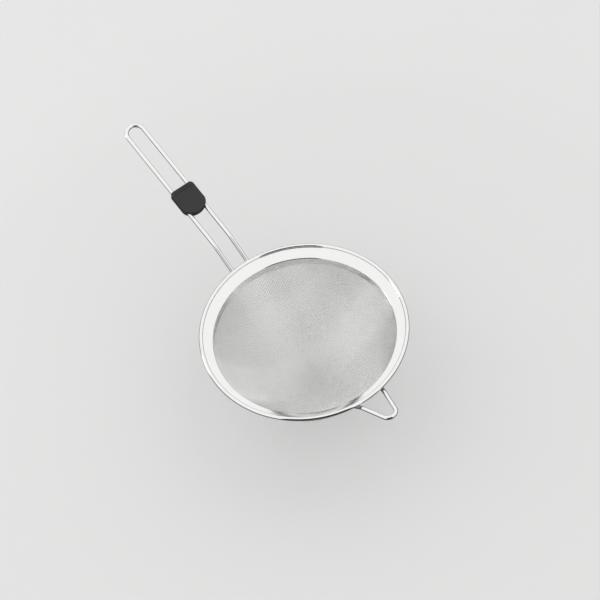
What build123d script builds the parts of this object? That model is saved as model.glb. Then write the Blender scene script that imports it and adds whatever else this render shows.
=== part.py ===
"""A deep kitchen strainer: pressed sheet rim, woven bowl, wire handle, rest hook and clip.

The origin is the centre of the collar, halfway up its straight wall. +Z points out of the
mouth of the bowl and the handle runs towards +X. All lengths are in millimetres.
"""
from build123d import *
import os
from math import acos, asin, atan2, cos, degrees, radians, sin, sqrt, tan

os.makedirs("parts", exist_ok=True)

# Rim: one pressed sheet with a straight collar, a sloping band and a bead rolled onto the band
sheet_thickness = 0.6
collar_inner_radius = 87.5
collar_height = 8.0
collar_edge_radius = 1.5
band_width = 10.6
band_slope = 30.5
bead_radius = 1.9
curl_mouth_gap = 0.4

# Woven bowl and the ring that traps its edge against the collar
mesh_wire_diameter = 0.42
mesh_pitch = 1.66
mesh_seat_clearance = 0.05
bowl_depth = 83.0
bowl_floor_turn = 42.0
bowl_rim_turn = 70.0
skirt_top_inset = 0.8
ring_thickness = 0.6
ring_height = 8.0

# Openings in the bowl: a coarse grid with the weave's direction and its share of open area
grid_rows = 12
grid_heading = 81.0
grid_edge_band = 3.0
grid_least_corner = 4.0
cut_overrun = 1.0

# Handle: one bent wire with two legs and a rounded end
wire_radius = 2.0
leg_spacing = 18.7
leg_slope = 33.8
bead_to_handle_gap = 1.2
kink_beyond_bead = 30.4
kink_bend_radius = 25.0
handle_slope = 18.1
handle_length = 152.5

# Rest hook: one bent wire whose legs draw together at the tip
hook_wire_radius = 2.0
bead_to_hook_gap = 0.75
hook_bend_reach = 3.9
hook_bend_radius = 8.0
hook_root_half_width = 13.0
hook_slope = 14.3
hook_taper = 15.5
hook_tip_radius = 7.0

# Welds at the four wire ends
weld_root_gap = 0.05
weld_leg = 1.3
weld_throat = 0.15
weld_length = 3.2

# Moulded clip: a front and a back shell closed round the two straight wires
clip_to_kink = 36.0
clip_length = 32.0
clip_half_width = 13.35
clip_nose_length = 10.4
clip_corner_radius = 4.0
clip_front_height = 4.5
clip_back_height = 3.5
clip_front_round = 1.1
clip_back_round = 1.0
parting_bevel = 0.25
wire_running_clearance = 0.05
dish_centre_from_nose = 14.0
dish_radius = 9.4
dish_depth = 0.7
groove_from_end = 5.4
groove_length = 18.4
groove_width = 0.7
groove_depth = 0.35
rib_count = 9
rib_pitch = 2.0
rib_width = 0.8
rib_length = 3.0
rib_height = 0.3
rib_row_from_end = 2.9
post_radius = 2.0
post_length = 2.2
post_clearance = 0.05
nose_post_from_nose = 6.5
end_post_from_end = 8.0

# Sizes that follow from the ones above
collar_top = collar_height / 2
bead_centre_radius = collar_inner_radius + band_width
bead_inside_radius = bead_radius - sheet_thickness
edge_inside_radius = collar_edge_radius - sheet_thickness
mesh_thickness = 2 * mesh_wire_diameter
mesh_outer_radius = collar_inner_radius + sheet_thickness + mesh_seat_clearance + mesh_thickness
ring_inner_radius = mesh_outer_radius + mesh_seat_clearance
ring_outer_radius = ring_inner_radius + ring_thickness

# Section of the rim: the band leaves the collar's edge at its slope and runs on into the bead,
# which is rolled up and back until its end almost meets the band again
edge_centre = Vector(collar_inner_radius + collar_edge_radius, collar_top)
band_run = bead_centre_radius - edge_centre.X
bead_rise = (
    collar_edge_radius + bead_inside_radius + band_run * sin(radians(band_slope))
) / cos(radians(band_slope))
bead_centre_height = collar_top + bead_rise
bead_centre = Vector(bead_centre_radius, bead_centre_height)
band_normal_angle = band_slope + 90
band_normal = Vector(1, 0).rotate(Axis.Z, band_normal_angle)
curl_start_angle = band_slope - 90
curl_blocked_angle = degrees(acos(bead_inside_radius / bead_radius))
curl_sweep = 360 - curl_blocked_angle - degrees(curl_mouth_gap / bead_radius)
curl_end_angle = curl_start_angle + curl_sweep
curl_end_direction = Vector(1, 0).rotate(Axis.Z, curl_end_angle)

with BuildPart() as rim_band:
    with BuildSketch(Plane.XZ):
        with BuildLine():
            Line(
                edge_centre + band_normal * collar_edge_radius,
                bead_centre - band_normal * bead_inside_radius,
            )
            CenterArc(bead_centre, bead_inside_radius, curl_start_angle, curl_sweep)
            Line(
                bead_centre + curl_end_direction * bead_inside_radius,
                bead_centre + curl_end_direction * bead_radius,
            )
            CenterArc(bead_centre, bead_radius, curl_end_angle, -curl_sweep)
            Line(bead_centre - band_normal * bead_radius, edge_centre + band_normal * edge_inside_radius)
            CenterArc(edge_centre, edge_inside_radius, band_normal_angle, 180 - band_normal_angle)
            Polyline(
                (collar_inner_radius + sheet_thickness, collar_top),
                (collar_inner_radius + sheet_thickness, -collar_top),
                (collar_inner_radius, -collar_top),
                (collar_inner_radius, collar_top),
            )
            CenterArc(edge_centre, collar_edge_radius, 180, band_normal_angle - 180)
        make_face()
    revolve(axis=Axis.Z)

# Bowl: a skirt between collar and ring, then a steep wall arc that runs into a rounder floor arc.
# The arcs' radii are those that reach from the collar's lower edge to the bowl's depth.
skirt_top = collar_top - skirt_top_inset
bowl_radius = mesh_outer_radius - mesh_thickness / 2
bowl_bottom = -collar_top - bowl_depth
floor_sine = sin(radians(bowl_floor_turn))
floor_cosine = cos(radians(bowl_floor_turn))
wall_rise = sin(radians(bowl_rim_turn)) - floor_sine
wall_drop = floor_cosine - cos(radians(bowl_rim_turn))
arcs_balance = floor_sine * wall_drop - wall_rise * (1 - floor_cosine)
floor_radius = (bowl_radius * wall_drop - wall_rise * bowl_depth) / arcs_balance
wall_radius = (floor_sine * bowl_depth - (1 - floor_cosine) * bowl_radius) / arcs_balance
floor_centre = Vector(0, bowl_bottom + floor_radius)
wall_centre = floor_centre + Vector(-floor_sine, floor_cosine) * (wall_radius - floor_radius)


def bowl_side(outward):
    """One side of the bowl's section, from the floor to the skirt; returns where its wall ends."""
    skirt_radius = bowl_radius + outward
    wall_turn = degrees(asin((skirt_radius - wall_centre.X) / (wall_radius + outward)))
    CenterArc(floor_centre, floor_radius + outward, -90, bowl_floor_turn)
    wall = CenterArc(wall_centre, wall_radius + outward, bowl_floor_turn - 90, wall_turn - bowl_floor_turn)
    return wall @ 1


# The grid's rows fan out from a point above the mouth. The point is where a ball through the
# collar's edge and the bowl's floor would close, so rows stay about as far apart on the wall as
# on the floor.
fan_height = bowl_bottom + (bowl_radius**2 + bowl_depth**2) / bowl_depth
fan_half_angle = atan2(bowl_radius, fan_height + collar_top)
row_angle = 2 * fan_half_angle / grid_rows
half_bar_angle = row_angle * mesh_wire_diameter / mesh_pitch / 2
grid_top = -collar_top - grid_edge_band
grid_reach = bowl_radius - grid_least_corner


def row_sides(row, height):
    """Where a row of openings starts and ends on the level plane of that height."""
    drop = fan_height - height
    return drop * tan(row * row_angle + half_bar_angle), drop * tan((row + 1) * row_angle - half_bar_angle)


def opening(row, column):
    """The wedge that cuts one opening out of the bowl."""
    with BuildPart() as wedge:
        for height in (grid_top, bowl_bottom - cut_overrun):
            x_start, x_end = row_sides(row, height)
            y_start, y_end = row_sides(column, height)
            with BuildSketch(Plane.XY.offset(height).rotated((0, 0, grid_heading))):
                with Locations(((x_start + x_end) / 2, (y_start + y_end) / 2)):
                    Rectangle(x_end - x_start, y_end - y_start)
        loft()
    return wedge.part


def grid_openings():
    """The wedges of all openings whose nearest corner lies well inside the collar."""
    rows = range(-grid_rows // 2, grid_rows // 2)
    wedges = []
    for row in rows:
        for column in rows:
            x_near = min(abs(side) for side in row_sides(row, grid_top))
            y_near = min(abs(side) for side in row_sides(column, grid_top))
            if sqrt(x_near**2 + y_near**2) < grid_reach:
                wedges.append(opening(row, column))
    return wedges


with BuildPart() as mesh_bowl:
    with BuildSketch(Plane.XZ):
        with BuildLine():
            outer_wall_end = bowl_side(mesh_thickness / 2)
            inner_wall_end = bowl_side(-mesh_thickness / 2)
            Polyline(
                outer_wall_end,
                (outer_wall_end.X, skirt_top),
                (inner_wall_end.X, skirt_top),
                inner_wall_end,
            )
            Line((0, bowl_bottom - mesh_thickness / 2), (0, bowl_bottom + mesh_thickness / 2))
        make_face()
    revolve(axis=Axis.Z)
    add(grid_openings(), mode=Mode.SUBTRACT)

with BuildPart() as clamp_ring:
    with BuildSketch(Plane.XY.offset(-ring_height / 2)):
        Circle(ring_outer_radius)
        Circle(ring_inner_radius, mode=Mode.SUBTRACT)
    extrude(amount=ring_height)
    fillet(edges().group_by(Axis.Z)[0], ring_thickness / 4)

# Handle wire: the legs run up under the bead at leg_slope, kink, and run straight to the loop
leg_direction = Vector(cos(radians(leg_slope)), 0, sin(radians(leg_slope)))
handle_direction = Vector(cos(radians(handle_slope)), 0, sin(radians(handle_slope)))
handle_normal = Vector(-sin(radians(handle_slope)), 0, cos(radians(handle_slope)))
kink_radius_from_axis = bead_centre_radius + kink_beyond_bead
bead_to_leg_centre = bead_radius + bead_to_handle_gap + wire_radius
kink_height = (
    bead_centre_height
    + kink_beyond_bead * tan(radians(leg_slope))
    - bead_to_leg_centre / cos(radians(leg_slope))
)
loop_radius = leg_spacing / 2
kink = Vector(kink_radius_from_axis, loop_radius, kink_height)
kink_tangent_length = kink_bend_radius * tan(radians(leg_slope - handle_slope) / 2)
leg_start = kink - leg_direction * (kink_radius_from_axis - ring_inner_radius) / leg_direction.X
kink_start = kink - leg_direction * kink_tangent_length
kink_end = kink + handle_direction * kink_tangent_length
loop_start = kink + handle_direction * (handle_length - loop_radius)
loop_end = Vector(loop_start.X, -loop_start.Y, loop_start.Z)

with BuildLine() as handle_path:
    Line(leg_start, kink_start)
    TangentArc(kink_start, kink_end, tangent=leg_direction)
    Line(kink_end, loop_start)
    mirror(about=Plane.XZ)
    TangentArc(loop_start, loop_end, tangent=handle_direction)

with BuildPart() as handle_wire:
    with BuildSketch(Plane(origin=leg_start, z_dir=leg_direction)):
        Circle(wire_radius)
    sweep(path=handle_path.wire())
    Cylinder(ring_outer_radius + weld_root_gap, 2 * kink_radius_from_axis, mode=Mode.SUBTRACT)

# Hook wire: the legs come out under the bead, bend flatter and meet in a round tip
hook_heading = Vector(-cos(radians(hook_taper)), -sin(radians(hook_taper)), 0)
up = Vector(0, 0, 1)
hook_leg_direction = hook_heading * cos(radians(leg_slope)) + up * sin(radians(leg_slope))
hook_arm_direction = hook_heading * cos(radians(hook_slope)) + up * sin(radians(hook_slope))
bead_to_hook_centre = bead_radius + bead_to_hook_gap + hook_wire_radius
hook_bend_height = (
    bead_centre_height
    + hook_bend_reach * tan(radians(leg_slope))
    - bead_to_hook_centre / cos(radians(leg_slope))
)
hook_bend = Vector(-bead_centre_radius - hook_bend_reach, hook_root_half_width, hook_bend_height)
hook_tangent_length = hook_bend_radius * tan(radians(leg_slope - hook_slope) / 2)
hook_root_run = (bead_centre_radius + hook_bend_reach - ring_inner_radius) + hook_wire_radius
hook_root = hook_bend - hook_leg_direction * (hook_root_run / -hook_leg_direction.X)
hook_bend_start = hook_bend - hook_leg_direction * hook_tangent_length
hook_bend_end = hook_bend + hook_arm_direction * hook_tangent_length
hook_half_angle = atan2(-hook_arm_direction.Y, sqrt(hook_arm_direction.X**2 + hook_arm_direction.Z**2))
hook_tip_half_width = hook_tip_radius * cos(hook_half_angle)
hook_arm_length = (hook_root_half_width - hook_tip_half_width) / -hook_arm_direction.Y
hook_tip_start = hook_bend + hook_arm_direction * hook_arm_length
hook_tip_end = Vector(hook_tip_start.X, -hook_tip_start.Y, hook_tip_start.Z)

with BuildLine() as hook_path:
    Line(hook_root, hook_bend_start)
    TangentArc(hook_bend_start, hook_bend_end, tangent=hook_leg_direction)
    Line(hook_bend_end, hook_tip_start)
    mirror(about=Plane.XZ)
    TangentArc(hook_tip_start, hook_tip_end, tangent=hook_arm_direction)

with BuildPart() as hook_wire:
    with BuildSketch(Plane(origin=hook_root, z_dir=hook_leg_direction)):
        Circle(hook_wire_radius)
    sweep(path=hook_path.wire())
    Cylinder(ring_outer_radius + weld_root_gap, 2 * kink_radius_from_axis, mode=Mode.SUBTRACT)


def weld_pair(foot, direction, radius, wire_part):
    """Two collars of weld metal between the ring's outer wall and a wire's two ends."""
    toe_plane = Plane(origin=foot, z_dir=direction)
    run = (ring_outer_radius - ring_inner_radius + weld_length) / sqrt(1 - direction.Z**2)
    with BuildPart() as welds:
        with BuildSketch(toe_plane):
            Circle(radius + weld_leg)
        with BuildSketch(toe_plane.offset(run)):
            Circle(radius + weld_throat)
        loft()
        mirror(about=Plane.XZ)
        Cylinder(ring_outer_radius, 2 * kink_radius_from_axis, mode=Mode.SUBTRACT)
        add(wire_part, mode=Mode.SUBTRACT)
    return welds.part


handle_welds = weld_pair(leg_start, leg_direction, wire_radius, handle_wire.part)
hook_foot = hook_root + hook_leg_direction * (hook_wire_radius / -hook_leg_direction.X)
hook_welds = weld_pair(hook_foot, hook_leg_direction, hook_wire_radius, hook_wire.part)

# Clip: its plane lies through the wire centres, x along the handle and z up through the front
clip_centre = Vector(kink.X, 0, kink.Z) + handle_direction * (clip_to_kink + clip_length / 2)
clip_plane = Plane(origin=clip_centre, x_dir=handle_direction, z_dir=handle_normal)
clip_axis = Axis(clip_centre, handle_normal)
clip_end = clip_length / 2
nose_centre = clip_nose_length - clip_end
channel_plane = Plane(origin=clip_centre, x_dir=Vector(0, 1, 0), z_dir=handle_direction)
dish_ball_radius = (dish_radius**2 + dish_depth**2) / (2 * dish_depth)
dish_ball_height = clip_front_height - dish_depth + dish_ball_radius
dish_ball_centre = Vector(dish_centre_from_nose - clip_end, 0, dish_ball_height)
post_places = [(nose_post_from_nose - clip_end, 0), (clip_end - end_post_from_end, 0)]

with BuildSketch(clip_plane) as clip_outline:
    with BuildLine():
        Polyline(
            (nose_centre, clip_half_width),
            (clip_end, clip_half_width),
            (clip_end, -clip_half_width),
            (nose_centre, -clip_half_width),
        )
        EllipticalCenterArc((nose_centre, 0), clip_nose_length, clip_half_width, 90, arc_size=180)
    make_face()
    fillet(clip_outline.vertices().group_by(Axis.X)[-1], clip_corner_radius)

with BuildSketch(channel_plane) as wire_channels:
    with GridLocations(leg_spacing, 0, 2, 1):
        Circle(wire_radius + wire_running_clearance)

with BuildPart() as clip_front:
    extrude(clip_outline.sketch, amount=clip_front_height)
    fillet(faces().sort_by(clip_axis)[-1].edges(), clip_front_round)
    chamfer(faces().sort_by(clip_axis)[0].edges(), parting_bevel)
    extrude(wire_channels.sketch, amount=clip_length, both=True, mode=Mode.SUBTRACT)
    with Locations(clip_plane.from_local_coords(dish_ball_centre)):
        Sphere(dish_ball_radius, mode=Mode.SUBTRACT)
    with BuildSketch(clip_plane.offset(clip_front_height)):
        with Locations((clip_end - groove_from_end, 0)):
            Rectangle(groove_width, groove_length)
    extrude(amount=-groove_depth, mode=Mode.SUBTRACT)
    with BuildSketch(clip_plane.offset(clip_front_height)):
        with Locations((clip_end - rib_row_from_end, 0)):
            with GridLocations(0, rib_pitch, 1, rib_count):
                SlotOverall(rib_length, rib_width)
    extrude(amount=rib_height)
    with BuildSketch(clip_plane):
        with Locations(*post_places):
            Circle(post_radius)
    extrude(amount=-post_length)

with BuildPart() as clip_back:
    extrude(clip_outline.sketch, amount=-clip_back_height)
    fillet(faces().sort_by(clip_axis)[0].edges(), clip_back_round)
    chamfer(faces().sort_by(clip_axis)[-1].edges(), parting_bevel)
    extrude(wire_channels.sketch, amount=clip_length, both=True, mode=Mode.SUBTRACT)
    with BuildSketch(clip_plane):
        with Locations(*post_places):
            Circle(post_radius + post_clearance)
    extrude(amount=-(post_length + post_clearance), mode=Mode.SUBTRACT)

pieces = {
    "rim_band": rim_band.part,
    "mesh_bowl": mesh_bowl.part,
    "clamp_ring": clamp_ring.part,
    "handle_wire": handle_wire.part,
    "handle_welds": handle_welds,
    "hook_wire": hook_wire.part,
    "hook_welds": hook_welds,
    "clip_front": clip_front.part,
    "clip_back": clip_back.part,
}
for name, piece in pieces.items():
    piece.label = name
    export_step(piece, f"parts/{name}.step")
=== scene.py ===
"""Looks of the deep-bowled wire strainer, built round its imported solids. All lengths are in metres."""
from math import acos, cos, degrees, pi, radians, sin, sqrt, tan

import bpy
import numpy as np
from bpy.props import FloatProperty, FloatVectorProperty, IntProperty, PointerProperty
from mathutils import Matrix, Vector


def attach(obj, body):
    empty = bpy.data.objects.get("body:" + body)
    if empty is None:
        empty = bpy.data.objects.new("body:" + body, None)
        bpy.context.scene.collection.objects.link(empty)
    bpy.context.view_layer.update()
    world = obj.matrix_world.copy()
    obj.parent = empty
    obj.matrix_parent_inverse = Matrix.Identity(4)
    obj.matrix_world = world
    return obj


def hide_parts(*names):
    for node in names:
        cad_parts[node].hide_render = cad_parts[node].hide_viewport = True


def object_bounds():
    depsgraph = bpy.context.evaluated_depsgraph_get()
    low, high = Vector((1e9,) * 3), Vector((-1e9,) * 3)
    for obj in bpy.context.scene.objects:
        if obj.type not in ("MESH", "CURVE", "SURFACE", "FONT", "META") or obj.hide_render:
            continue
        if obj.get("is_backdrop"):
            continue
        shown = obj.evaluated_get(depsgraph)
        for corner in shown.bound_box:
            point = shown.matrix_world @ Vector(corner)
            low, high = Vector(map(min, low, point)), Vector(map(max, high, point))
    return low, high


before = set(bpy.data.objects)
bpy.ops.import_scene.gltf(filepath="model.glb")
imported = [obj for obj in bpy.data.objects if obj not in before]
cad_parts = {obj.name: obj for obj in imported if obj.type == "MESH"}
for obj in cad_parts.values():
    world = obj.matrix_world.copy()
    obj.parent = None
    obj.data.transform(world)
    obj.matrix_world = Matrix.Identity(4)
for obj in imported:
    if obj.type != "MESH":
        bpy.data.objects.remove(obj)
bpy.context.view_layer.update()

bl_info = {
    "name": "Wire strainer",
    "version": (1, 0, 0),
    "blender": (4, 5, 0),
    "location": "3D View > Sidebar > Strainer",
    "description": "Builds the woven bowl, rim, wires, welds and clip of a kitchen strainer",
    "category": "Add Mesh",
}

MM = 0.001
# The solids' own materials have the plain names, so the finishes' names end in this.
FINISH_ENDING = "_finish"


def length(name, description, millimetres):
    """A length property, given in millimetres and kept in metres."""
    return FloatProperty(
        name=name, description=description, default=millimetres * MM, min=0, precision=5, unit="LENGTH"
    )


def angle(name, description, degrees_):
    """An angle property, given in degrees."""
    return FloatProperty(name=name, description=description, default=radians(degrees_), subtype="ANGLE")


def colour(name, description, red, green, blue):
    """A linear colour property."""
    return FloatVectorProperty(
        name=name, description=description, default=(red, green, blue), min=0, max=1, size=3, subtype="COLOR"
    )


class StrainerRimSizes(bpy.types.PropertyGroup):
    """Sizes of the pressed rim and the ring behind it."""

    sheet: length("Sheet thickness", "Thickness of the rim's sheet", 0.6)
    collar_radius: length("Collar radius", "Inner radius of the straight collar", 87.5)
    collar_height: length("Collar height", "Height of the straight collar", 8.0)
    edge_radius: length("Edge radius", "Outer radius of the bend from collar to band", 1.5)
    band_width: length("Band width", "From the collar's inner face to the bead's centre", 10.6)
    band_slope: angle("Band slope", "Rise of the band towards the bead", 30.5)
    bead_radius: length("Bead radius", "Outer radius of the bead rolled onto the band", 1.9)
    curl_gap: length("Curl gap", "Gap between the rolled sheet's end and the band", 0.4)
    ring_clearance: length("Ring clearance", "Gap on each side of the cloth", 0.05)
    ring_thickness: length("Ring thickness", "Thickness of the clamp ring", 0.6)
    ring_height: length("Ring height", "Height of the clamp ring", 8.0)
    cut_edge_round: length("Cut edge round", "Rounding of the sheets' cut edges", 0.12)
    turns: IntProperty(name="Segments", description="Segments round the rim", default=400, min=24)


class StrainerClothSizes(bpy.types.PropertyGroup):
    """Sizes of the woven bowl."""

    wire: length("Wire diameter", "Diameter of one cloth wire", 0.42)
    pitch: length("Pitch", "Distance between neighbouring crossings along a wire", 1.66)
    depth: length("Depth", "From the collar's lower edge to the middle of the floor", 83.0)
    floor_turn: angle("Floor turn", "Slope where the floor arc meets the wall arc", 42.0)
    rim_turn: angle("Rim turn", "Slope where the wall arc meets the collar", 70.0)
    skirt_inset: length("Skirt inset", "How far the cloth ends below the collar's top", 0.8)
    heading: angle("Heading", "Turn of the cloth's wires from the handle", 81.0)
    sides: IntProperty(name="Sides", description="Sides of each cloth wire", default=6, min=3)


class StrainerWireSizes(bpy.types.PropertyGroup):
    """Sizes of the bent handle and hook wires and their welds."""

    wire_radius: length("Wire radius", "Radius of the handle's and hook's wire", 2.0)
    leg_spacing: length("Leg spacing", "Distance between the handle's two legs", 18.7)
    leg_slope: angle("Leg slope", "Rise of the legs under the bead", 33.8)
    handle_gap: length("Handle gap", "Gap between the bead and the handle's legs", 1.2)
    kink_reach: length("Kink reach", "From the bead's centre out to the handle's kink", 30.4)
    kink_radius: length("Kink radius", "Bend radius of the kink", 25.0)
    handle_slope: angle("Handle slope", "Rise of the straight handle", 18.1)
    handle_length: length("Handle length", "From the kink to the end of the loop", 152.5)
    hook_gap: length("Hook gap", "Gap between the bead and the hook's legs", 0.75)
    hook_reach: length("Hook reach", "From the bead's centre out to the hook's bend", 3.9)
    hook_bend: length("Hook bend", "Bend radius of the hook's legs", 8.0)
    hook_half_width: length("Hook half width", "Half the hook's width at its bend", 13.0)
    hook_slope: angle("Hook slope", "Rise of the hook's arms", 14.3)
    hook_taper: angle("Hook taper", "Turn of each arm towards the tip", 15.5)
    hook_tip: length("Hook tip", "Bend radius of the tip", 7.0)
    root_gap: length("Root gap", "Gap between the ring and the wires' ends", 0.05)
    weld_leg: length("Weld leg", "Weld metal beside the wire at the ring", 1.3)
    weld_throat: length("Weld throat", "Weld metal beside the wire at its far end", 0.15)
    weld_length: length("Weld length", "Length of the weld along the wire", 3.2)


class StrainerColours(bpy.types.PropertyGroup):
    """Base colours of the finishes."""

    sheet: colour("Sheet", "Polished steel of the rim", 0.905, 0.903, 0.897)
    wire: colour("Wire", "Polished steel of the handle and hook", 0.925, 0.922, 0.915)
    cloth: colour("Cloth", "Bright drawn steel of the woven wires", 0.98, 0.98, 0.975)
    ring: colour("Ring", "Satin steel of the clamp ring", 0.74, 0.735, 0.725)
    weld: colour("Weld", "Weld metal", 0.52, 0.49, 0.45)
    weld_tint: colour("Weld tint", "Straw tint of heated steel", 0.45, 0.30, 0.14)
    clip: colour("Clip", "Black moulded plastic", 0.019, 0.019, 0.0195)
    # Lighter colour for the clip's outer edges: partly rubbed plastic, partly a painted highlight along the
    # edges.
    clip_wear_and_highlight: colour("Clip wear", "Rubbed edges of the plastic", 0.07, 0.07, 0.072)
    floor: colour("Floor", "Pale floor", 0.78, 0.78, 0.776)


# Node graphs


def add_node(tree, kind, inputs=None, **settings):
    """One shader node; a value in inputs is either a socket to link or a number to set."""
    node = tree.nodes.new(kind)
    for key, value in settings.items():
        setattr(node, key, value)
    for key, value in (inputs or {}).items():
        if isinstance(value, bpy.types.NodeSocket):
            tree.links.new(value, node.inputs[key])
        else:
            node.inputs[key].default_value = value
    return node


def noise(tree, vector, scale, detail=3.0, roughness=0.55):
    """Noise over a position; scale is features per metre."""
    inputs = {"Vector": vector, "Scale": scale, "Detail": detail, "Roughness": roughness}
    return add_node(tree, "ShaderNodeTexNoise", inputs).outputs["Fac"]


def remap(tree, value, low, high, new_low, new_high, smooth=False):
    """A value's range mapped to another, held at the ends."""
    inputs = {"Value": value, "From Min": low, "From Max": high, "To Min": new_low, "To Max": new_high}
    kind = "SMOOTHSTEP" if smooth else "LINEAR"
    return add_node(tree, "ShaderNodeMapRange", inputs, interpolation_type=kind).outputs["Result"]


def maths(tree, operation, *values):
    """A maths node on up to three values."""
    return add_node(tree, "ShaderNodeMath", dict(enumerate(values)), operation=operation).outputs[0]


def blend_colours(tree, factor, first, second):
    """Two colours mixed by a factor."""
    node = add_node(tree, "ShaderNodeMix", data_type="RGBA")
    for index, value in ((0, factor), (6, first), (7, second)):
        if isinstance(value, bpy.types.NodeSocket):
            tree.links.new(value, node.inputs[index])
        else:
            node.inputs[index].default_value = value
    return node.outputs[2]


def four(rgb, factor=1.0):
    """An opaque colour for a node's socket."""
    return (rgb[0] * factor, rgb[1] * factor, rgb[2] * factor, 1.0)


def new_finish(name):
    """A material, its tree, its shader and the position its patterns follow."""
    material = bpy.data.materials.new(name + FINISH_ENDING)
    material.use_nodes = True
    tree = material.node_tree
    place = add_node(tree, "ShaderNodeTexCoord").outputs["Object"]
    return material, tree, tree.nodes["Principled BSDF"], place


def finish_shader(tree, shader, base, roughness, heights, metallic):
    """Links the colour and roughness, and bumps from (height, depth) pairs, finest last."""
    tree.links.new(base, shader.inputs["Base Color"])
    tree.links.new(roughness, shader.inputs["Roughness"])
    shader.inputs["Metallic"].default_value = metallic
    normal = None
    for height, depth in heights:
        inputs = {"Height": height, "Distance": depth, "Strength": 1.0}
        if normal is not None:
            inputs["Normal"] = normal
        normal = add_node(tree, "ShaderNodeBump", inputs).outputs["Normal"]
    tree.links.new(normal, shader.inputs["Normal"])


def ring_coordinates(tree, place, across, along):
    """A position as radius, height and angle, stretched so that patterns run round the Z axis."""
    split = add_node(tree, "ShaderNodeSeparateXYZ", {0: place})
    x, y, z = split.outputs
    squares = maths(tree, "ADD", maths(tree, "MULTIPLY", x, x), maths(tree, "MULTIPLY", y, y))
    radius = maths(tree, "SQRT", squares)
    turn = maths(tree, "ARCTAN2", y, x)
    parts = {
        0: maths(tree, "MULTIPLY", radius, across),
        1: maths(tree, "MULTIPLY", z, across),
        2: maths(tree, "MULTIPLY", turn, along),
    }
    return add_node(tree, "ShaderNodeCombineXYZ", parts).outputs[0]


def outer_edges(tree, low, high):
    """Zero on flat and hollow places, one on outer edges: worn edges on the ring, rubbed edges with a painted
    highlight on the clip.
    """
    pointiness = add_node(tree, "ShaderNodeNewGeometry").outputs["Pointiness"]
    return remap(tree, pointiness, low, high, 0.0, 1.0, smooth=True)


def polished_sheet(colours):
    """Mirror-polished pressed sheet: faint lathe lines, smudges and a slightly wavy surface."""
    material, tree, shader, place = new_finish("polished_sheet")
    lines = noise(tree, ring_coordinates(tree, place, 9000.0, 1.4), 1.0, detail=2.0)
    smudges = noise(tree, place, 55.0, detail=4.0)
    haze = noise(tree, place, 420.0, detail=3.0)
    scuffs = remap(tree, haze, 0.62, 0.74, 0.0, 1.0, smooth=True)
    base = blend_colours(tree, smudges, four(colours.sheet), four(colours.sheet, 0.955))
    base = blend_colours(tree, maths(tree, "MULTIPLY", scuffs, 0.35), base, four(colours.sheet, 0.86))
    rough = remap(tree, smudges, 0.35, 0.75, 0.03, 0.08)
    rough = maths(tree, "ADD", rough, maths(tree, "MULTIPLY", scuffs, 0.07))
    rough = maths(tree, "ADD", rough, remap(tree, lines, 0.3, 0.7, 0.0, 0.03))
    waves = noise(tree, place, 38.0, detail=1.0)
    finish_shader(tree, shader, base, rough, [(waves, 0.00009), (lines, 0.0000012)], 1.0)
    return material


def polished_wire(colours):
    """Bright bent wire: drawing lines along it, smudges and light scuffs."""
    material, tree, shader, place = new_finish("polished_wire")
    scaled = add_node(tree, "ShaderNodeMapping", {"Vector": place, "Scale": (0.035, 1.0, 1.0)}).outputs[0]
    lines = noise(tree, scaled, 5200.0, detail=2.0)
    smudges = noise(tree, place, 90.0, detail=4.0)
    scuffs = remap(tree, noise(tree, place, 700.0), 0.63, 0.74, 0.0, 1.0, smooth=True)
    base = blend_colours(tree, smudges, four(colours.wire), four(colours.wire, 0.93))
    base = blend_colours(tree, maths(tree, "MULTIPLY", scuffs, 0.4), base, four(colours.wire, 0.8))
    rough = remap(tree, smudges, 0.35, 0.75, 0.04, 0.1)
    rough = maths(tree, "ADD", rough, maths(tree, "MULTIPLY", scuffs, 0.1))
    rough = maths(tree, "ADD", rough, remap(tree, lines, 0.3, 0.7, 0.0, 0.05))
    waves = noise(tree, place, 60.0, detail=1.0)
    finish_shader(tree, shader, base, rough, [(waves, 0.00003), (lines, 0.000002)], 1.0)
    return material


def woven_wire(colours):
    """Drawn cloth wire: bright, a little dull and darker in patches, with drawing marks."""
    material, tree, shader, place = new_finish("woven_wire")
    patches = noise(tree, place, 35.0, detail=4.0)
    marks = noise(tree, place, 2400.0, detail=2.0)
    patches = remap(tree, patches, 0.35, 0.7, 0.0, 1.0)
    base = blend_colours(tree, patches, four(colours.cloth), four(colours.cloth, 0.97))
    base = blend_colours(tree, remap(tree, marks, 0.45, 0.75, 0.0, 0.4), base, four(colours.cloth, 0.9))
    rough = remap(tree, marks, 0.3, 0.7, 0.1, 0.2)
    finish_shader(tree, shader, base, rough, [(marks, 0.0000015)], 1.0)
    return material


def ring_steel(colours):
    """Satin ring: lathe lines, dull patches and brighter worn edges."""
    material, tree, shader, place = new_finish("ring_steel")
    lines = noise(tree, ring_coordinates(tree, place, 5200.0, 2.2), 1.0, detail=3.0)
    patches = noise(tree, place, 80.0, detail=5.0)
    base = blend_colours(tree, patches, four(colours.ring), four(colours.ring, 0.86))
    base = blend_colours(tree, outer_edges(tree, 0.53, 0.6), base, four(colours.sheet))
    rough = remap(tree, lines, 0.3, 0.7, 0.2, 0.34)
    rough = maths(tree, "ADD", rough, remap(tree, patches, 0.4, 0.7, 0.0, 0.1))
    finish_shader(tree, shader, base, rough, [(patches, 0.00002), (lines, 0.000006)], 1.0)
    return material


def weld_metal(colours):
    """Dressed weld metal: straw heat tint in patches, oxide specks and a rippled surface."""
    material, tree, shader, place = new_finish("weld_metal")
    tint = noise(tree, place, 420.0, detail=3.0)
    specks = noise(tree, place, 3200.0, detail=3.0)
    heated = remap(tree, tint, 0.42, 0.68, 0.0, 0.75)
    base = blend_colours(tree, heated, four(colours.weld), four(colours.weld_tint))
    base = blend_colours(tree, remap(tree, specks, 0.6, 0.72, 0.0, 0.6), base, four(colours.weld, 0.3))
    rough = remap(tree, specks, 0.3, 0.7, 0.26, 0.5)
    finish_shader(tree, shader, base, rough, [(tint, 0.00012), (specks, 0.00004)], 1.0)
    return material


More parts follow.
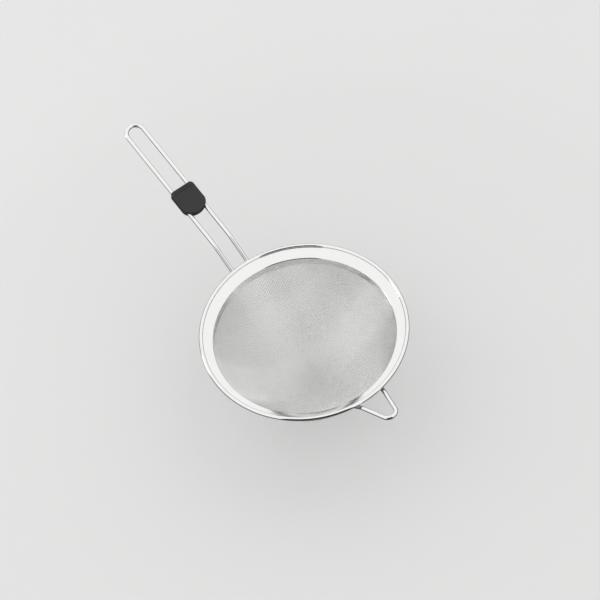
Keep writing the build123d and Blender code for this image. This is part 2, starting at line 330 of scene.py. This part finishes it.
def black_plastic(colours):
    """Satin black moulding: fine spark-eroded grain, dusty patches, and rubbed edges made lighter still as a
    painted highlight.
    """
    material, tree, shader, place = new_finish("black_plastic")
    grain = noise(tree, place, 3600.0, detail=2.0)
    patches = noise(tree, place, 160.0, detail=4.0)
    # The outer edges are lightened: partly rubbed plastic, partly a painted highlight along the clip's edges.
    wear_and_highlight = outer_edges(tree, 0.57, 0.68)
    rubbed_and_lit_edges = maths(tree, "MULTIPLY", wear_and_highlight, remap(tree, patches, 0.35, 0.65, 0.25, 1.0))
    base = blend_colours(tree, patches, four(colours.clip), four(colours.clip, 1.5))
    base = blend_colours(tree, rubbed_and_lit_edges, base, four(colours.clip_wear_and_highlight))
    rough = remap(tree, patches, 0.35, 0.7, 0.26, 0.4)
    rough = maths(tree, "SUBTRACT", rough, maths(tree, "MULTIPLY", rubbed_and_lit_edges, 0.1))
    finish_shader(tree, shader, base, rough, [(grain, 0.000008)], 0.0)
    shader.inputs["IOR"].default_value = 1.4
    return material


def pale_floor(colours):
    """Pale seamless floor with a barely visible mottle."""
    material, tree, shader, place = new_finish("pale_floor")
    mottle = noise(tree, place, 5.0, detail=5.0)
    grain = noise(tree, place, 900.0, detail=2.0)
    base = blend_colours(tree, mottle, four(colours.floor), four(colours.floor, 0.975))
    rough = remap(tree, mottle, 0.3, 0.7, 0.7, 0.85)
    finish_shader(tree, shader, base, rough, [(grain, 0.00002)], 0.0)
    return material


def studio_card(name, shade):
    """Matt grey or black card with a faint mottle."""
    material, tree, shader, place = new_finish(name)
    mottle = noise(tree, place, 6.0)
    base = blend_colours(tree, mottle, four((shade, shade, shade)), four((shade, shade, shade), 1.4))
    finish_shader(tree, shader, base, remap(tree, mottle, 0.3, 0.7, 0.8, 0.95), [(mottle, 0.0005)], 0.0)
    return material


# Mesh making


def make_piece(name, vertices, faces, finish, body, *nodes, sharp_over=35.0, uvs=None):
    """A smooth-shaded piece that stands for CAD nodes, rides on a body and takes a finish."""
    mesh = bpy.data.meshes.new(name)
    mesh.from_pydata(np.asarray(vertices).tolist(), [], [list(face) for face in faces])
    if mesh.validate(verbose=False):
        raise RuntimeError(f"{name} has faces that don't hold")
    mesh.polygons.foreach_set("use_smooth", [True] * len(mesh.polygons))
    if uvs is not None:
        layer = mesh.uv_layers.new(name="OFBake")
        layer.data.foreach_set("uv", np.asarray(uvs, np.float32).ravel())
    if sharp_over:
        mesh.set_sharp_from_angle(angle=radians(sharp_over))
    mesh.materials.append(finish)
    piece = bpy.data.objects.new(name, mesh)
    bpy.context.scene.collection.objects.link(piece)
    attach(piece, body)
    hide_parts(*nodes)
    return piece


def finish_named(context, name):
    """The finish of that name, made once."""
    made = bpy.data.materials.get(name + FINISH_ENDING)
    return made or FINISHES[name](context.scene.strainer_colours)


def arc(centre, radius, start, sweep, step=8.0):
    """Points along an arc in the (radius, height) plane; angles in degrees."""
    count = max(2, int(abs(sweep) / step) + 1)
    turns = np.radians(np.linspace(start, start + sweep, count))
    return [(centre[0] + radius * cos(t), centre[1] + radius * sin(t)) for t in turns]


def with_support(points, inset, longest=0.002):
    """The closed outline with extra points close to the ends of its long straight runs."""
    kept = []
    for here, there in zip(points, points[1:] + points[:1]):
        run = sqrt((there[0] - here[0]) ** 2 + (there[1] - here[1]) ** 2)
        kept.append(here)
        if run > longest:
            for share in (inset / run, 0.5, 1 - inset / run):
                kept.append((here[0] + (there[0] - here[0]) * share, here[1] + (there[1] - here[1]) * share))
    return kept


def revolved(outline, turns):
    """A closed (radius, height) outline turned round the Z axis."""
    angles = np.linspace(0, 2 * pi, turns, endpoint=False)
    outline = np.array(outline)
    count = len(outline)
    vertices = np.empty((turns, count, 3))
    vertices[..., 0] = np.cos(angles)[:, None] * outline[:, 0]
    vertices[..., 1] = np.sin(angles)[:, None] * outline[:, 0]
    vertices[..., 2] = outline[:, 1]
    faces = []
    for turn in range(turns):
        here, there = turn * count, (turn + 1) % turns * count
        for index in range(count):
            after = (index + 1) % count
            faces.append((here + index, there + index, there + after, here + after))
    return vertices.reshape(-1, 3), faces


def outward(vertices, faces):
    """The faces, turned over if the closed mesh they make is inside out."""
    volume = 0.0
    for face in faces:
        first = Vector(vertices[face[0]])
        for second, third in zip(face[1:], face[2:]):
            volume += first.dot(Vector(vertices[second]).cross(Vector(vertices[third])))
    return faces if volume > 0 else [tuple(reversed(face)) for face in faces]


def rounded_path(corners, radii, step=6.0):
    """Points along straight runs joined by arcs of the given radii at the inner corners."""
    corners = [Vector(corner) for corner in corners]
    points = [corners[0]]
    for before, corner, after, radius in zip(corners, corners[1:], corners[2:], radii):
        incoming, leaving = (corner - before).normalized(), (after - corner).normalized()
        turn = incoming.angle(leaving)
        start = corner - incoming * radius * tan(turn / 2)
        inwards = (leaving - incoming * leaving.dot(incoming)).normalized()
        centre = start + inwards * radius
        count = max(3, int(degrees(turn) / step) + 1)
        for index in range(count + 1):
            t = turn * index / count
            points.append(centre - inwards * radius * cos(t) + incoming * radius * sin(t))
    points.append(corners[-1])
    return points


def filled_runs(points, longest):
    """The points with long runs divided, so that rings stay close enough for even shading."""
    kept = [points[0]]
    for here, there in zip(points, points[1:]):
        pieces = max(1, int((there - here).length / longest))
        kept += [here.lerp(there, (index + 1) / pieces) for index in range(pieces)]
    return kept


def slide_to_cylinder(point, direction, radius):
    """The point moved along a direction until it lies on the cylinder about the Z axis."""
    a = direction.x**2 + direction.y**2
    b = point.x * direction.x + point.y * direction.y
    c = point.x**2 + point.y**2 - radius**2
    return point + direction * ((-b + sqrt(b * b - a * c)) / a)


def tube(points, radius, sides, foot_radius):
    """A round tube along points whose two ends lie on the cylinder of foot_radius."""
    directions = [
        (points[min(i + 1, len(points) - 1)] - points[max(i - 1, 0)]).normalized() for i in range(len(points))
    ]
    side = directions[0].cross(Vector((0, 0, 1))).normalized()
    rings = []
    for point, direction in zip(points, directions):
        side = (side - direction * side.dot(direction)).normalized()
        other = direction.cross(side)
        rings.append([
            point + (side * cos(2 * pi * k / sides) + other * sin(2 * pi * k / sides)) * radius
            for k in range(sides)
        ])
    rings[0] = [slide_to_cylinder(p, directions[0], foot_radius) for p in rings[0]]
    rings[-1] = [slide_to_cylinder(p, -directions[-1], foot_radius) for p in rings[-1]]
    vertices = [vertex for ring in rings for vertex in ring]
    faces = []
    for index in range(len(rings) - 1):
        for k in range(sides):
            after = (k + 1) % sides
            faces.append((
                index * sides + k, index * sides + after, (index + 1) * sides + after, (index + 1) * sides + k
            ))
    faces.append(tuple(reversed(range(sides))))
    faces.append(tuple(range(len(vertices) - sides, len(vertices))))
    return vertices, outward(vertices, faces)


# Places that several pieces share


def ring_radii(rim, cloth):
    """The cloth's middle radius in its skirt, and the clamp ring's inner and outer radius."""
    collar_outside = rim.collar_radius + rim.sheet
    middle = collar_outside + rim.ring_clearance + cloth.wire
    inner = middle + cloth.wire + rim.ring_clearance
    return middle, inner, inner + rim.ring_thickness


def bead_place(rim):
    """Radius and height of the bead's centre; the band's upper side runs on inside the bead."""
    across = rim.band_width - rim.edge_radius
    rise = rim.edge_radius + rim.bead_radius - rim.sheet + across * sin(rim.band_slope)
    return rim.collar_radius + rim.band_width, rim.collar_height / 2 + rise / cos(rim.band_slope)


def handle_corners(rim, wires, foot_radius):
    """The handle wire's corners, from foot to foot, and its bend radii."""
    bead_radius, bead_height = bead_place(rim)
    down = (rim.bead_radius + wires.handle_gap + wires.wire_radius) / cos(wires.leg_slope)
    kink = Vector((
        bead_radius + wires.kink_reach,
        wires.leg_spacing / 2,
        bead_height + wires.kink_reach * tan(wires.leg_slope) - down,
    ))
    leg = Vector((cos(wires.leg_slope), 0, sin(wires.leg_slope)))
    foot = slide_to_cylinder(kink - leg * kink.x / leg.x, leg, foot_radius)
    end = kink + Vector((cos(wires.handle_slope), 0, sin(wires.handle_slope))) * wires.handle_length
    half = [foot, kink, end]
    corners = half + [Vector((p.x, -p.y, p.z)) for p in reversed(half)]
    return corners, [wires.kink_radius, wires.leg_spacing / 2, wires.leg_spacing / 2, wires.kink_radius]


def hook_corners(rim, wires, foot_radius):
    """The hook wire's corners, from foot to foot, and its bend radii."""
    bead_radius, bead_height = bead_place(rim)
    down = (rim.bead_radius + wires.hook_gap + wires.wire_radius) / cos(wires.leg_slope)
    bend = Vector((
        -bead_radius - wires.hook_reach,
        wires.hook_half_width,
        bead_height + wires.hook_reach * tan(wires.leg_slope) - down,
    ))
    heading = Vector((-cos(wires.hook_taper), -sin(wires.hook_taper), 0))
    leg = heading * cos(wires.leg_slope) + Vector((0, 0, sin(wires.leg_slope)))
    arm = heading * cos(wires.hook_slope) + Vector((0, 0, sin(wires.hook_slope)))
    foot = slide_to_cylinder(bend - leg * bend.x / leg.x, leg, foot_radius)
    tip = bend + arm * (bend.y / -arm.y)
    other = [Vector((p.x, -p.y, p.z)) for p in (bend, foot)]
    return [foot, bend, tip] + other, [wires.hook_bend, wires.hook_tip, wires.hook_bend]


# Pieces


class StrainerRim(bpy.types.Operator):
    """The pressed sheet rim: straight collar, sloping band and rolled bead"""

    bl_idname = "strainer.rim"
    bl_label = "Pressed rim"

    def execute(self, context):
        rim = context.scene.strainer_rim
        top = rim.collar_height / 2
        edge = (rim.collar_radius + rim.edge_radius, top)
        bead = bead_place(rim)
        normal = degrees(rim.band_slope) + 90
        inside_bead, inside_edge = rim.bead_radius - rim.sheet, rim.edge_radius - rim.sheet
        blocked = degrees(acos(inside_bead / rim.bead_radius))
        sweep = 360 - blocked - degrees(rim.curl_gap / rim.bead_radius)
        end = normal - 180 + sweep
        half = rim.sheet / 2
        out = rim.bead_radius - half
        curl_end = (bead[0] + out * cos(radians(end)), bead[1] + out * sin(radians(end)))
        small = rim.cut_edge_round
        outer_wall = rim.collar_radius + rim.sheet
        outline = arc(edge, rim.edge_radius, 180, normal - 180, 5)
        outline += arc(bead, inside_bead, normal - 180, sweep)
        outline += arc(curl_end, half, end + 180, -180, 30)[1:-1]
        outline += arc(bead, rim.bead_radius, end, -sweep, 5)
        outline += arc(edge, inside_edge, normal, 180 - normal)
        outline += arc((outer_wall - small, -top + small), small, 0, -90, 30)
        outline += arc((rim.collar_radius + small, -top + small), small, -90, -90, 30)
        vertices, faces = revolved(with_support(outline, 0.1 * MM), rim.turns)
        finish = finish_named(context, "polished_sheet")
        make_piece("rim", vertices, outward(vertices, faces), finish, "strainer", "rim_band")
        return {"FINISHED"}


class StrainerRing(bpy.types.Operator):
    """The ring that traps the cloth against the collar"""

    bl_idname = "strainer.ring"
    bl_label = "Clamp ring"

    def execute(self, context):
        rim = context.scene.strainer_rim
        _, inner, outer = ring_radii(rim, context.scene.strainer_cloth)
        half, small = rim.ring_height / 2, rim.cut_edge_round
        outline = []
        for radius, height, start in (
            (outer - small, half - small, 90), (outer - small, small - half, 0),
            (inner + small, small - half, -90), (inner + small, half - small, -180),
        ):
            outline += arc((radius, height), small, start, -90, 30)
        vertices, faces = revolved(with_support(outline, 0.1 * MM), rim.turns)
        finish = finish_named(context, "ring_steel")
        make_piece("ring", vertices, outward(vertices, faces), finish, "strainer", "clamp_ring")
        return {"FINISHED"}


class BowlSurface:
    """The cloth's middle surface, laid out by distance from the middle of the floor."""

    def __init__(self, rim, cloth, samples=6000):
        radius = ring_radii(rim, cloth)[0]
        f, w = cloth.floor_turn, cloth.rim_turn
        arcs = np.array([[sin(f), sin(w) - sin(f)], [1 - cos(f), cos(f) - cos(w)]])
        floor_radius, wall_radius = np.linalg.solve(arcs, [radius, cloth.depth])
        floor_run, wall_run = floor_radius * f, wall_radius * (w - f)
        skirt_run = rim.collar_height - cloth.skirt_inset
        self.reach = floor_run + wall_run + skirt_run
        run = np.linspace(0, self.reach, samples)
        turn = np.where(run < floor_run, run / floor_radius, f + (run - floor_run) / wall_radius)
        on_floor, on_skirt = run < floor_run, run > floor_run + wall_run
        across = np.where(
            on_floor, floor_radius * np.sin(turn),
            floor_radius * sin(f) + wall_radius * (np.sin(turn) - sin(f)),
        )
        rise = np.where(
            on_floor, floor_radius * (1 - np.cos(turn)),
            floor_radius * (1 - cos(f)) + wall_radius * (cos(f) - np.cos(turn)),
        )
        self.run = run
        self.radius = np.where(on_skirt, radius, across)
        rise = np.where(on_skirt, cloth.depth + run - floor_run - wall_run, rise)
        self.height = rise - cloth.depth - rim.collar_height / 2
        self.turn = np.where(on_skirt, pi / 2, turn)

    def place(self, flat):
        """Points on the surface for flat positions about the floor's middle."""
        distance = np.hypot(flat[..., 0], flat[..., 1])
        radius = np.interp(distance, self.run, self.radius)
        share = np.where(distance > 1e-9, radius / np.maximum(distance, 1e-9), 1.0)
        height = np.interp(distance, self.run, self.height)
        return np.stack([flat[..., 0] * share, flat[..., 1] * share, height], -1)

    def inward(self, flat):
        """Unit normals that point into the bowl."""
        distance = np.maximum(np.hypot(flat[..., 0], flat[..., 1]), 1e-9)
        turn = np.interp(distance, self.run, self.turn)
        side = -np.sin(turn) / distance
        return np.stack([flat[..., 0] * side, flat[..., 1] * side, np.cos(turn)], -1)


def lay_net(surface, pitch, heading):
    """Flat positions of the crossings of a cloth of fixed pitch that is draped over the surface.

    The two wires through the floor's middle lie straight, and each other crossing stands one pitch
    from its two neighbours.
    """
    reach = int(surface.reach / pitch) + 2
    flat = np.full((2 * reach + 1, 2 * reach + 1, 2), np.nan)
    steps = np.arange(-reach, reach + 1)
    held = np.abs(steps) * pitch <= surface.reach
    flat[held, reach] = steps[held, None] * pitch * np.array([cos(heading), sin(heading)])
    flat[reach, held] = steps[held, None] * pitch * np.array([-sin(heading), cos(heading)])
    placed = surface.place(flat)
    nudge = 1e-4 * MM
    for sign_a, sign_b in ((1, 1), (1, -1), (-1, 1), (-1, -1)):
        for diagonal in range(2, 2 * reach + 1):
            i = np.arange(max(1, diagonal - reach), min(reach, diagonal - 1) + 1)
            a, b = reach + sign_a * i, reach + sign_b * (diagonal - i)
            left, below, behind = (a - sign_a, b), (a, b - sign_b), (a - sign_a, b - sign_b)
            known = ~np.isnan(placed[left][:, 0] + placed[below][:, 0] + placed[behind][:, 0])
            if not known.any():
                continue
            a, b = a[known], b[known]
            left, below, behind = (a - sign_a, b), (a, b - sign_b), (a - sign_a, b - sign_b)
            first, second = placed[left], placed[below]

            def miss(guess):
                at = surface.place(guess)
                return np.stack([((at - first) ** 2).sum(1), ((at - second) ** 2).sum(1)], 1) - pitch**2

            guess = flat[left] + flat[below] - flat[behind]
            for _ in range(10):
                now = miss(guess)
                by_u = (miss(guess + [nudge, 0]) - now) / nudge
                by_v = (miss(guess + [0, nudge]) - now) / nudge
                area = by_u[:, 0] * by_v[:, 1] - by_u[:, 1] * by_v[:, 0]
                area = np.where(np.abs(area) < 1e-15, 1e-15, area)
                move = np.stack([
                    (now[:, 1] * by_v[:, 0] - now[:, 0] * by_v[:, 1]) / area,
                    (now[:, 0] * by_u[:, 1] - now[:, 1] * by_u[:, 0]) / area,
                ], 1)
                size = np.linalg.norm(move, axis=1, keepdims=True)
                guess = guess + move * np.minimum(1, 0.4 * pitch / np.maximum(size, 1e-12))
            lost = np.abs(miss(guess)).max(1) > 1e-3 * pitch**2
            lost |= np.hypot(guess[:, 0], guess[:, 1]) > surface.reach
            guess[lost] = np.nan
            flat[a, b] = guess
            placed[a, b] = surface.place(guess)
    return flat


def wire_strands(centres, normals):
    """The unbroken runs of crossings along each wire of one family."""
    strands = []
    for line, (points, ups) in enumerate(zip(centres, normals)):
        there = np.flatnonzero(~np.isnan(points[:, 0]))
        if len(there) < 3:
            continue
        for run in np.split(there, np.flatnonzero(np.diff(there) > 1) + 1):
            if len(run) > 2:
                strands.append((line, run, points[run], ups[run]))
    return strands


def cloth_mesh(strands, lines, radius, sides):
    """Round wires with a ring of points at each crossing, and the faces' places in the baked picture."""
    angles = 2 * pi * np.arange(sides) / sides
    vertices, faces, uvs, first = [], [], [], 0
    for line, run, points, ups in strands:
        along = np.gradient(points, axis=0)
        along /= np.linalg.norm(along, axis=1, keepdims=True)
        side = np.cross(along, ups)
        side /= np.linalg.norm(side, axis=1, keepdims=True)
        over = np.cross(side, along)
        rings = points[:, None] + radius * (
            np.cos(angles)[None, :, None] * side[:, None] + np.sin(angles)[None, :, None] * over[:, None]
        )
        vertices.append(rings.reshape(-1, 3))
        count = len(points)
        here = first + np.arange(count - 1)[:, None] * sides + np.arange(sides)[None]
        after = first + np.arange(count - 1)[:, None] * sides + (np.arange(sides)[None] + 1) % sides
        quads = np.stack([here, after, after + sides, here + sides], -1).reshape(-1, 4)
        faces += quads.tolist()
        u0 = np.broadcast_to(run[:-1, None] / lines, here.shape)
        u1 = np.broadcast_to((run[:-1, None] + 1) / lines, here.shape)
        v0 = np.broadcast_to((line + np.arange(sides)[None] / (sides + 1)) / lines, here.shape)
        v1 = v0 + 1 / (lines * (sides + 1))
        uvs.append(np.stack([u0, v0, u0, v1, u1, v1, u1, v0], -1).reshape(-1, 2))
        faces.append([first + k for k in reversed(range(sides))])
        faces.append([first + (count - 1) * sides + k for k in range(sides)])
        spare = np.full((2 * sides, 2), (line + 0.95) / lines)
        spare[:sides, 0], spare[sides:, 0] = run[0] / lines, (run[-1] + 1) / lines
        uvs.append(spare)
        first += count * sides
    return np.concatenate(vertices), faces, np.concatenate(uvs)


class StrainerCloth(bpy.types.Operator):
    """The woven bowl: two families of crimped wires that pass over and under each other"""

    bl_idname = "strainer.cloth"
    bl_label = "Woven bowl"

    def execute(self, context):
        rim, cloth = context.scene.strainer_rim, context.scene.strainer_cloth
        surface = BowlSurface(rim, cloth)
        flat = lay_net(surface, cloth.pitch, cloth.heading)
        middle, normals = surface.place(flat), surface.inward(flat)
        lines = len(flat)
        index = np.add.outer(np.arange(lines), np.arange(lines))
        lift = np.where(index % 2, 1, -1)[..., None] * normals * cloth.wire / 2
        finish = finish_named(context, "woven_wire")
        families = {
            "warp": wire_strands(middle + lift, normals),
            "weft": wire_strands((middle - lift).swapaxes(0, 1), normals.swapaxes(0, 1)),
        }
        for family, strands in families.items():
            if len(strands) < lines / 2:
                raise RuntimeError(f"the {family} wires don't cover the bowl")
            for half, chosen in (
                ("low", [s for s in strands if s[0] < lines // 2]),
                ("high", [s for s in strands if s[0] >= lines // 2]),
            ):
                vertices, faces, uvs = cloth_mesh(chosen, lines, cloth.wire / 2, cloth.sides)
                make_piece(
                    f"cloth_{family}_{half}", vertices, faces, finish, "strainer", "mesh_bowl",
                    sharp_over=80.0, uvs=uvs,
                )
        return {"FINISHED"}


class StrainerWires(bpy.types.Operator):
    """The bent handle wire and the rest hook"""

    bl_idname = "strainer.wires"
    bl_label = "Handle and hook"

    def execute(self, context):
        rim, wires = context.scene.strainer_rim, context.scene.strainer_wires
        foot = ring_radii(rim, context.scene.strainer_cloth)[2] + wires.root_gap
        finish = finish_named(context, "polished_wire")
        for name, node, corners in (
            ("handle", "handle_wire", handle_corners), ("hook", "hook_wire", hook_corners),
        ):
            path = filled_runs(rounded_path(*corners(rim, wires, foot), step=3.0), 4 * MM)
            vertices, faces = tube(path, wires.wire_radius, 40, foot)
            make_piece(name, vertices, faces, finish, "strainer", node)
        return {"FINISHED"}


def weld_bead(foot, direction, wires, ring_outer, phase, rings=18, sides=64):
    """One rippled fillet of weld metal round a wire where it meets the ring."""
    side = direction.cross(Vector((0, 0, 1))).normalized()
    other = direction.cross(side)
    run = wires.weld_length / sqrt(1 - direction.z**2)
    vertices = []

    def ring_at(distance, radius_of):
        for k in range(sides):
            t = 2 * pi * k / sides
            vertices.append(foot + direction * distance + (side * cos(t) + other * sin(t)) * radius_of(t))

    for index in range(rings + 1):
        share = index / rings
        hollow = (1 - share) ** 1.6
        grow = wires.wire_radius + wires.weld_throat + (wires.weld_leg - wires.weld_throat) * hollow
        ripple = 0.06 * MM * sin(pi * share) if 0 < index < rings else 0.0
        step = grow + ripple * sin(21 * share * pi)
        ring_at(run * share, lambda t: step + ripple * sin(9 * t + 5 * share + phase))
    ring_at(run, lambda t: wires.wire_radius)
    ring_at(0, lambda t: wires.wire_radius)
    for start in (0, (rings + 2) * sides):
        for k in range(sides):
            vertices[start + k] = slide_to_cylinder(vertices[start + k], direction, ring_outer)
    faces = []
    loops = rings + 3
    for index in range(loops):
        here, there = index * sides, (index + 1) % loops * sides
        for k in range(sides):
            after = (k + 1) % sides
            faces.append((here + k, here + after, there + after, there + k))
    return vertices, faces


class StrainerWelds(bpy.types.Operator):
    """The welds between the ring and the four wire ends"""

    bl_idname = "strainer.welds"
    bl_label = "Welds"

    def execute(self, context):
        rim, wires = context.scene.strainer_rim, context.scene.strainer_wires
        ring_outer = ring_radii(rim, context.scene.strainer_cloth)[2]
        finish = finish_named(context, "weld_metal")
        for name, node, corners in (
            ("handle_weld", "handle_welds", handle_corners), ("hook_weld", "hook_welds", hook_corners),
        ):
            points = corners(rim, wires, ring_outer)[0]
            ends = ((points[0], points[1]), (points[-1], points[-2]))
            for label, (foot, corner), phase in (("left", ends[0], 0.0), ("right", ends[1], 2.1)):
                vertices, faces = weld_bead(foot, (corner - foot).normalized(), wires, ring_outer, phase)
                make_piece(f"{name}_{label}", vertices, outward(vertices, faces), finish, "strainer", node)
        return {"FINISHED"}


class StrainerClip(bpy.types.Operator):
    """The moulded clip's two shells, which keep their solids and take the plastic's finish"""

    bl_idname = "strainer.clip"
    bl_label = "Moulded clip"

    def execute(self, context):
        finish = finish_named(context, "black_plastic")
        for name in ("clip_front", "clip_back"):
            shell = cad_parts[name]
            if not shell.material_slots:
                raise RuntimeError(f"{name} has no material slot")
            for place in shell.material_slots:
                place.material = finish
        return {"FINISHED"}


# Floor, light and camera


CAMERA_DISTANCE = 1.2
CAMERA_TURN, CAMERA_RISE, CAMERA_ROLL = radians(239.129), radians(55.103), radians(-9.265)
CAMERA_OFFSET = (-3.36 * MM, 26.763 * MM)
PIXELS_PER_METRE = 1055.46
PICTURE_SIZE = 600
SENSOR_WIDTH = 36.0
KEY_SIZE, KEY_POWER, KEY_DISTANCE = 0.4, 1.5, 1.5
KEY_LEFT, KEY_UP = 0.98, 0.2
CARD_DISTANCE = 1.6
CARD_FOOT, CARD_TOP = -0.08, 2.6
CARD_HALF_TURN = radians(30)
RING_INNER, RING_FLAT, RING_OUTER = 0.11, 0.42, 0.5
RING_LIFT, RING_TOP = 2 * MM, -10 * MM
CARD_SHADE, RING_SHADE = 0.013, 0.06


def camera_axes():
    """The camera's right, up and back directions."""
    out = cos(CAMERA_RISE)
    back = Vector((sin(CAMERA_TURN) * out, -cos(CAMERA_TURN) * out, sin(CAMERA_RISE)))
    level = Vector((cos(CAMERA_TURN), sin(CAMERA_TURN), 0))
    upright = back.cross(level)
    right = level * cos(CAMERA_ROLL) + upright * sin(CAMERA_ROLL)
    up = upright * cos(CAMERA_ROLL) - level * sin(CAMERA_ROLL)
    return right, up, back


class StrainerStage(bpy.types.Operator):
    """The pale floor, the soft studio surroundings and the camera"""

    bl_idname = "strainer.stage"
    bl_label = "Floor, light and camera"

    def execute(self, context):
        scene = context.scene
        rim = scene.strainer_rim
        right, up, back = camera_axes()
        bead_height = bead_place(rim)[1]
        camera = bpy.data.objects.new("camera", bpy.data.cameras.new("camera"))
        scene.collection.objects.link(camera)
        camera.data.sensor_width = SENSOR_WIDTH
        camera.data.lens = PIXELS_PER_METRE * CAMERA_DISTANCE * SENSOR_WIDTH / PICTURE_SIZE
        camera.data.clip_start, camera.data.clip_end = 0.01, 20.0
        turn = Matrix((right, up, back)).transposed().to_4x4()
        place = back * CAMERA_DISTANCE + right * CAMERA_OFFSET[0] + up * CAMERA_OFFSET[1]
        place.z += bead_height
        camera.matrix_world = Matrix.Translation(place) @ turn
        scene.camera = camera
        scene.view_settings.view_transform = "Standard"
        self.floor(context)
        self.black_card(context, Vector((back.x, back.y, 0)).normalized())
        self.grey_ring(context)
        self.surroundings(scene)
        self.key_light(context, right, up)
        return {"FINISHED"}

    def floor(self, context):
        """A wide level floor under the bowl's lowest point."""
        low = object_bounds()[0][2] - 0.1 * MM
        reach, rows = 8.0, 33
        grid = np.linspace(-reach, reach, rows)
        mesh = bpy.data.meshes.new("floor")
        vertices = [(x, y, low) for y in grid for x in grid]
        faces = [
            (r * rows + c, r * rows + c + 1, (r + 1) * rows + c + 1, (r + 1) * rows + c)
            for r in range(rows - 1) for c in range(rows - 1)
        ]
        mesh.from_pydata(vertices, [], faces)
        mesh.materials.append(pale_floor(context.scene.strainer_colours))
        floor = bpy.data.objects.new("floor", mesh)
        context.scene.collection.objects.link(floor)
        floor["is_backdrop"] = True

    def surroundings(self, scene):
        """An even white studio on all sides."""
        world = bpy.data.worlds.new("studio")
        scene.world = world
        world.use_nodes = True
        background = world.node_tree.nodes["Background"]
        background.inputs["Color"].default_value = (1.0, 1.0, 1.0, 1.0)
        background.inputs["Strength"].default_value = 1.0

    def key_light(self, context, right, up):
        """A soft square light, low on the camera's left, which models the plastic and the weave."""
        light = bpy.data.lights.new("key", "AREA")
        light.shape, light.size, light.energy = "SQUARE", KEY_SIZE, KEY_POWER
        key = bpy.data.objects.new("key", light)
        context.scene.collection.objects.link(key)
        way = (up * KEY_UP - right * KEY_LEFT).normalized()
        key.location = way * KEY_DISTANCE
        key.rotation_euler = way.to_track_quat("Z", "Y").to_euler()
        key.visible_camera = False

    def black_card(self, context, towards):
        """A black card on the camera's side, which only the polished steel shows."""
        aside = Vector((0, 0, 1)).cross(towards)
        columns, rows = 9, 9
        vertices = []
        for row in range(rows):
            height = CARD_FOOT + (CARD_TOP - CARD_FOOT) * row / (rows - 1)
            for column in range(columns):
                turn = CARD_HALF_TURN * (2 * column / (columns - 1) - 1)
                out = towards * cos(turn) + aside * sin(turn)
                vertices.append(out * CARD_DISTANCE + Vector((0, 0, height)))
        faces = [
            (r * columns + c, r * columns + c + 1, (r + 1) * columns + c + 1, (r + 1) * columns + c)
            for r in range(rows - 1) for c in range(columns - 1)
        ]
        self.card(context, "black_card", CARD_SHADE, vertices, faces)

    def grey_ring(self, context):
        """A low grey ring round the strainer, turned up outside; it darkens the steel's lower edges."""
        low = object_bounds()[0][2]
        low += RING_LIFT
        outline = ((RING_INNER, low), (RING_FLAT, low), (RING_OUTER, RING_TOP))
        turns = 64
        vertices = [
            (radius * cos(2 * pi * k / turns), radius * sin(2 * pi * k / turns), height)
            for radius, height in outline for k in range(turns)
        ]
        faces = []
        for start in range(0, (len(outline) - 1) * turns, turns):
            for k in range(turns):
                after = (k + 1) % turns
                faces.append((start + k, start + after, start + turns + after, start + turns + k))
        self.card(context, "grey_ring", RING_SHADE, vertices, faces)

    def card(self, context, name, shade, vertices, faces):
        """A piece of dark studio card that shows in polished steel and nowhere else."""
        mesh = bpy.data.meshes.new(name)
        mesh.from_pydata([tuple(vertex) for vertex in vertices], [], faces)
        mesh.materials.append(studio_card(name, shade))
        card = bpy.data.objects.new(name, mesh)
        context.scene.collection.objects.link(card)
        card.visible_camera = card.visible_diffuse = card.visible_shadow = False
        card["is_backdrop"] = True


class StrainerPanel(bpy.types.Panel):
    """Lists the strainer's pieces and their sizes"""

    bl_idname = "VIEW3D_PT_strainer"
    bl_label = "Strainer"
    bl_space_type = "VIEW_3D"
    bl_region_type = "UI"
    bl_category = "Strainer"

    def draw(self, context):
        for operator in OPERATORS:
            self.layout.operator(operator.bl_idname)
        for group in SETTINGS.values():
            settings = getattr(context.scene, group)
            for name in settings.bl_rna.properties.keys():
                if name not in ("rna_type", "name"):
                    self.layout.prop(settings, name)


FINISHES = {
    "polished_sheet": polished_sheet,
    "polished_wire": polished_wire,
    "woven_wire": woven_wire,
    "ring_steel": ring_steel,
    "weld_metal": weld_metal,
    "black_plastic": black_plastic,
}
SETTINGS = {
    StrainerRimSizes: "strainer_rim",
    StrainerClothSizes: "strainer_cloth",
    StrainerWireSizes: "strainer_wires",
    StrainerColours: "strainer_colours",
}
OPERATORS = (
    StrainerStage, StrainerRim, StrainerRing, StrainerCloth, StrainerWires, StrainerWelds, StrainerClip,
)
CLASSES = (*SETTINGS, *OPERATORS, StrainerPanel)


def register():
    for item in CLASSES:
        bpy.utils.register_class(item)
    for group, name in SETTINGS.items():
        setattr(bpy.types.Scene, name, PointerProperty(type=group))


def unregister():
    for name in SETTINGS.values():
        delattr(bpy.types.Scene, name)
    for item in reversed(CLASSES):
        bpy.utils.unregister_class(item)


def main():
    register()
    for operator in OPERATORS:
        family, name = operator.bl_idname.split(".")
        getattr(getattr(bpy.ops, family), name)()


if __name__ == "__main__":
    main()
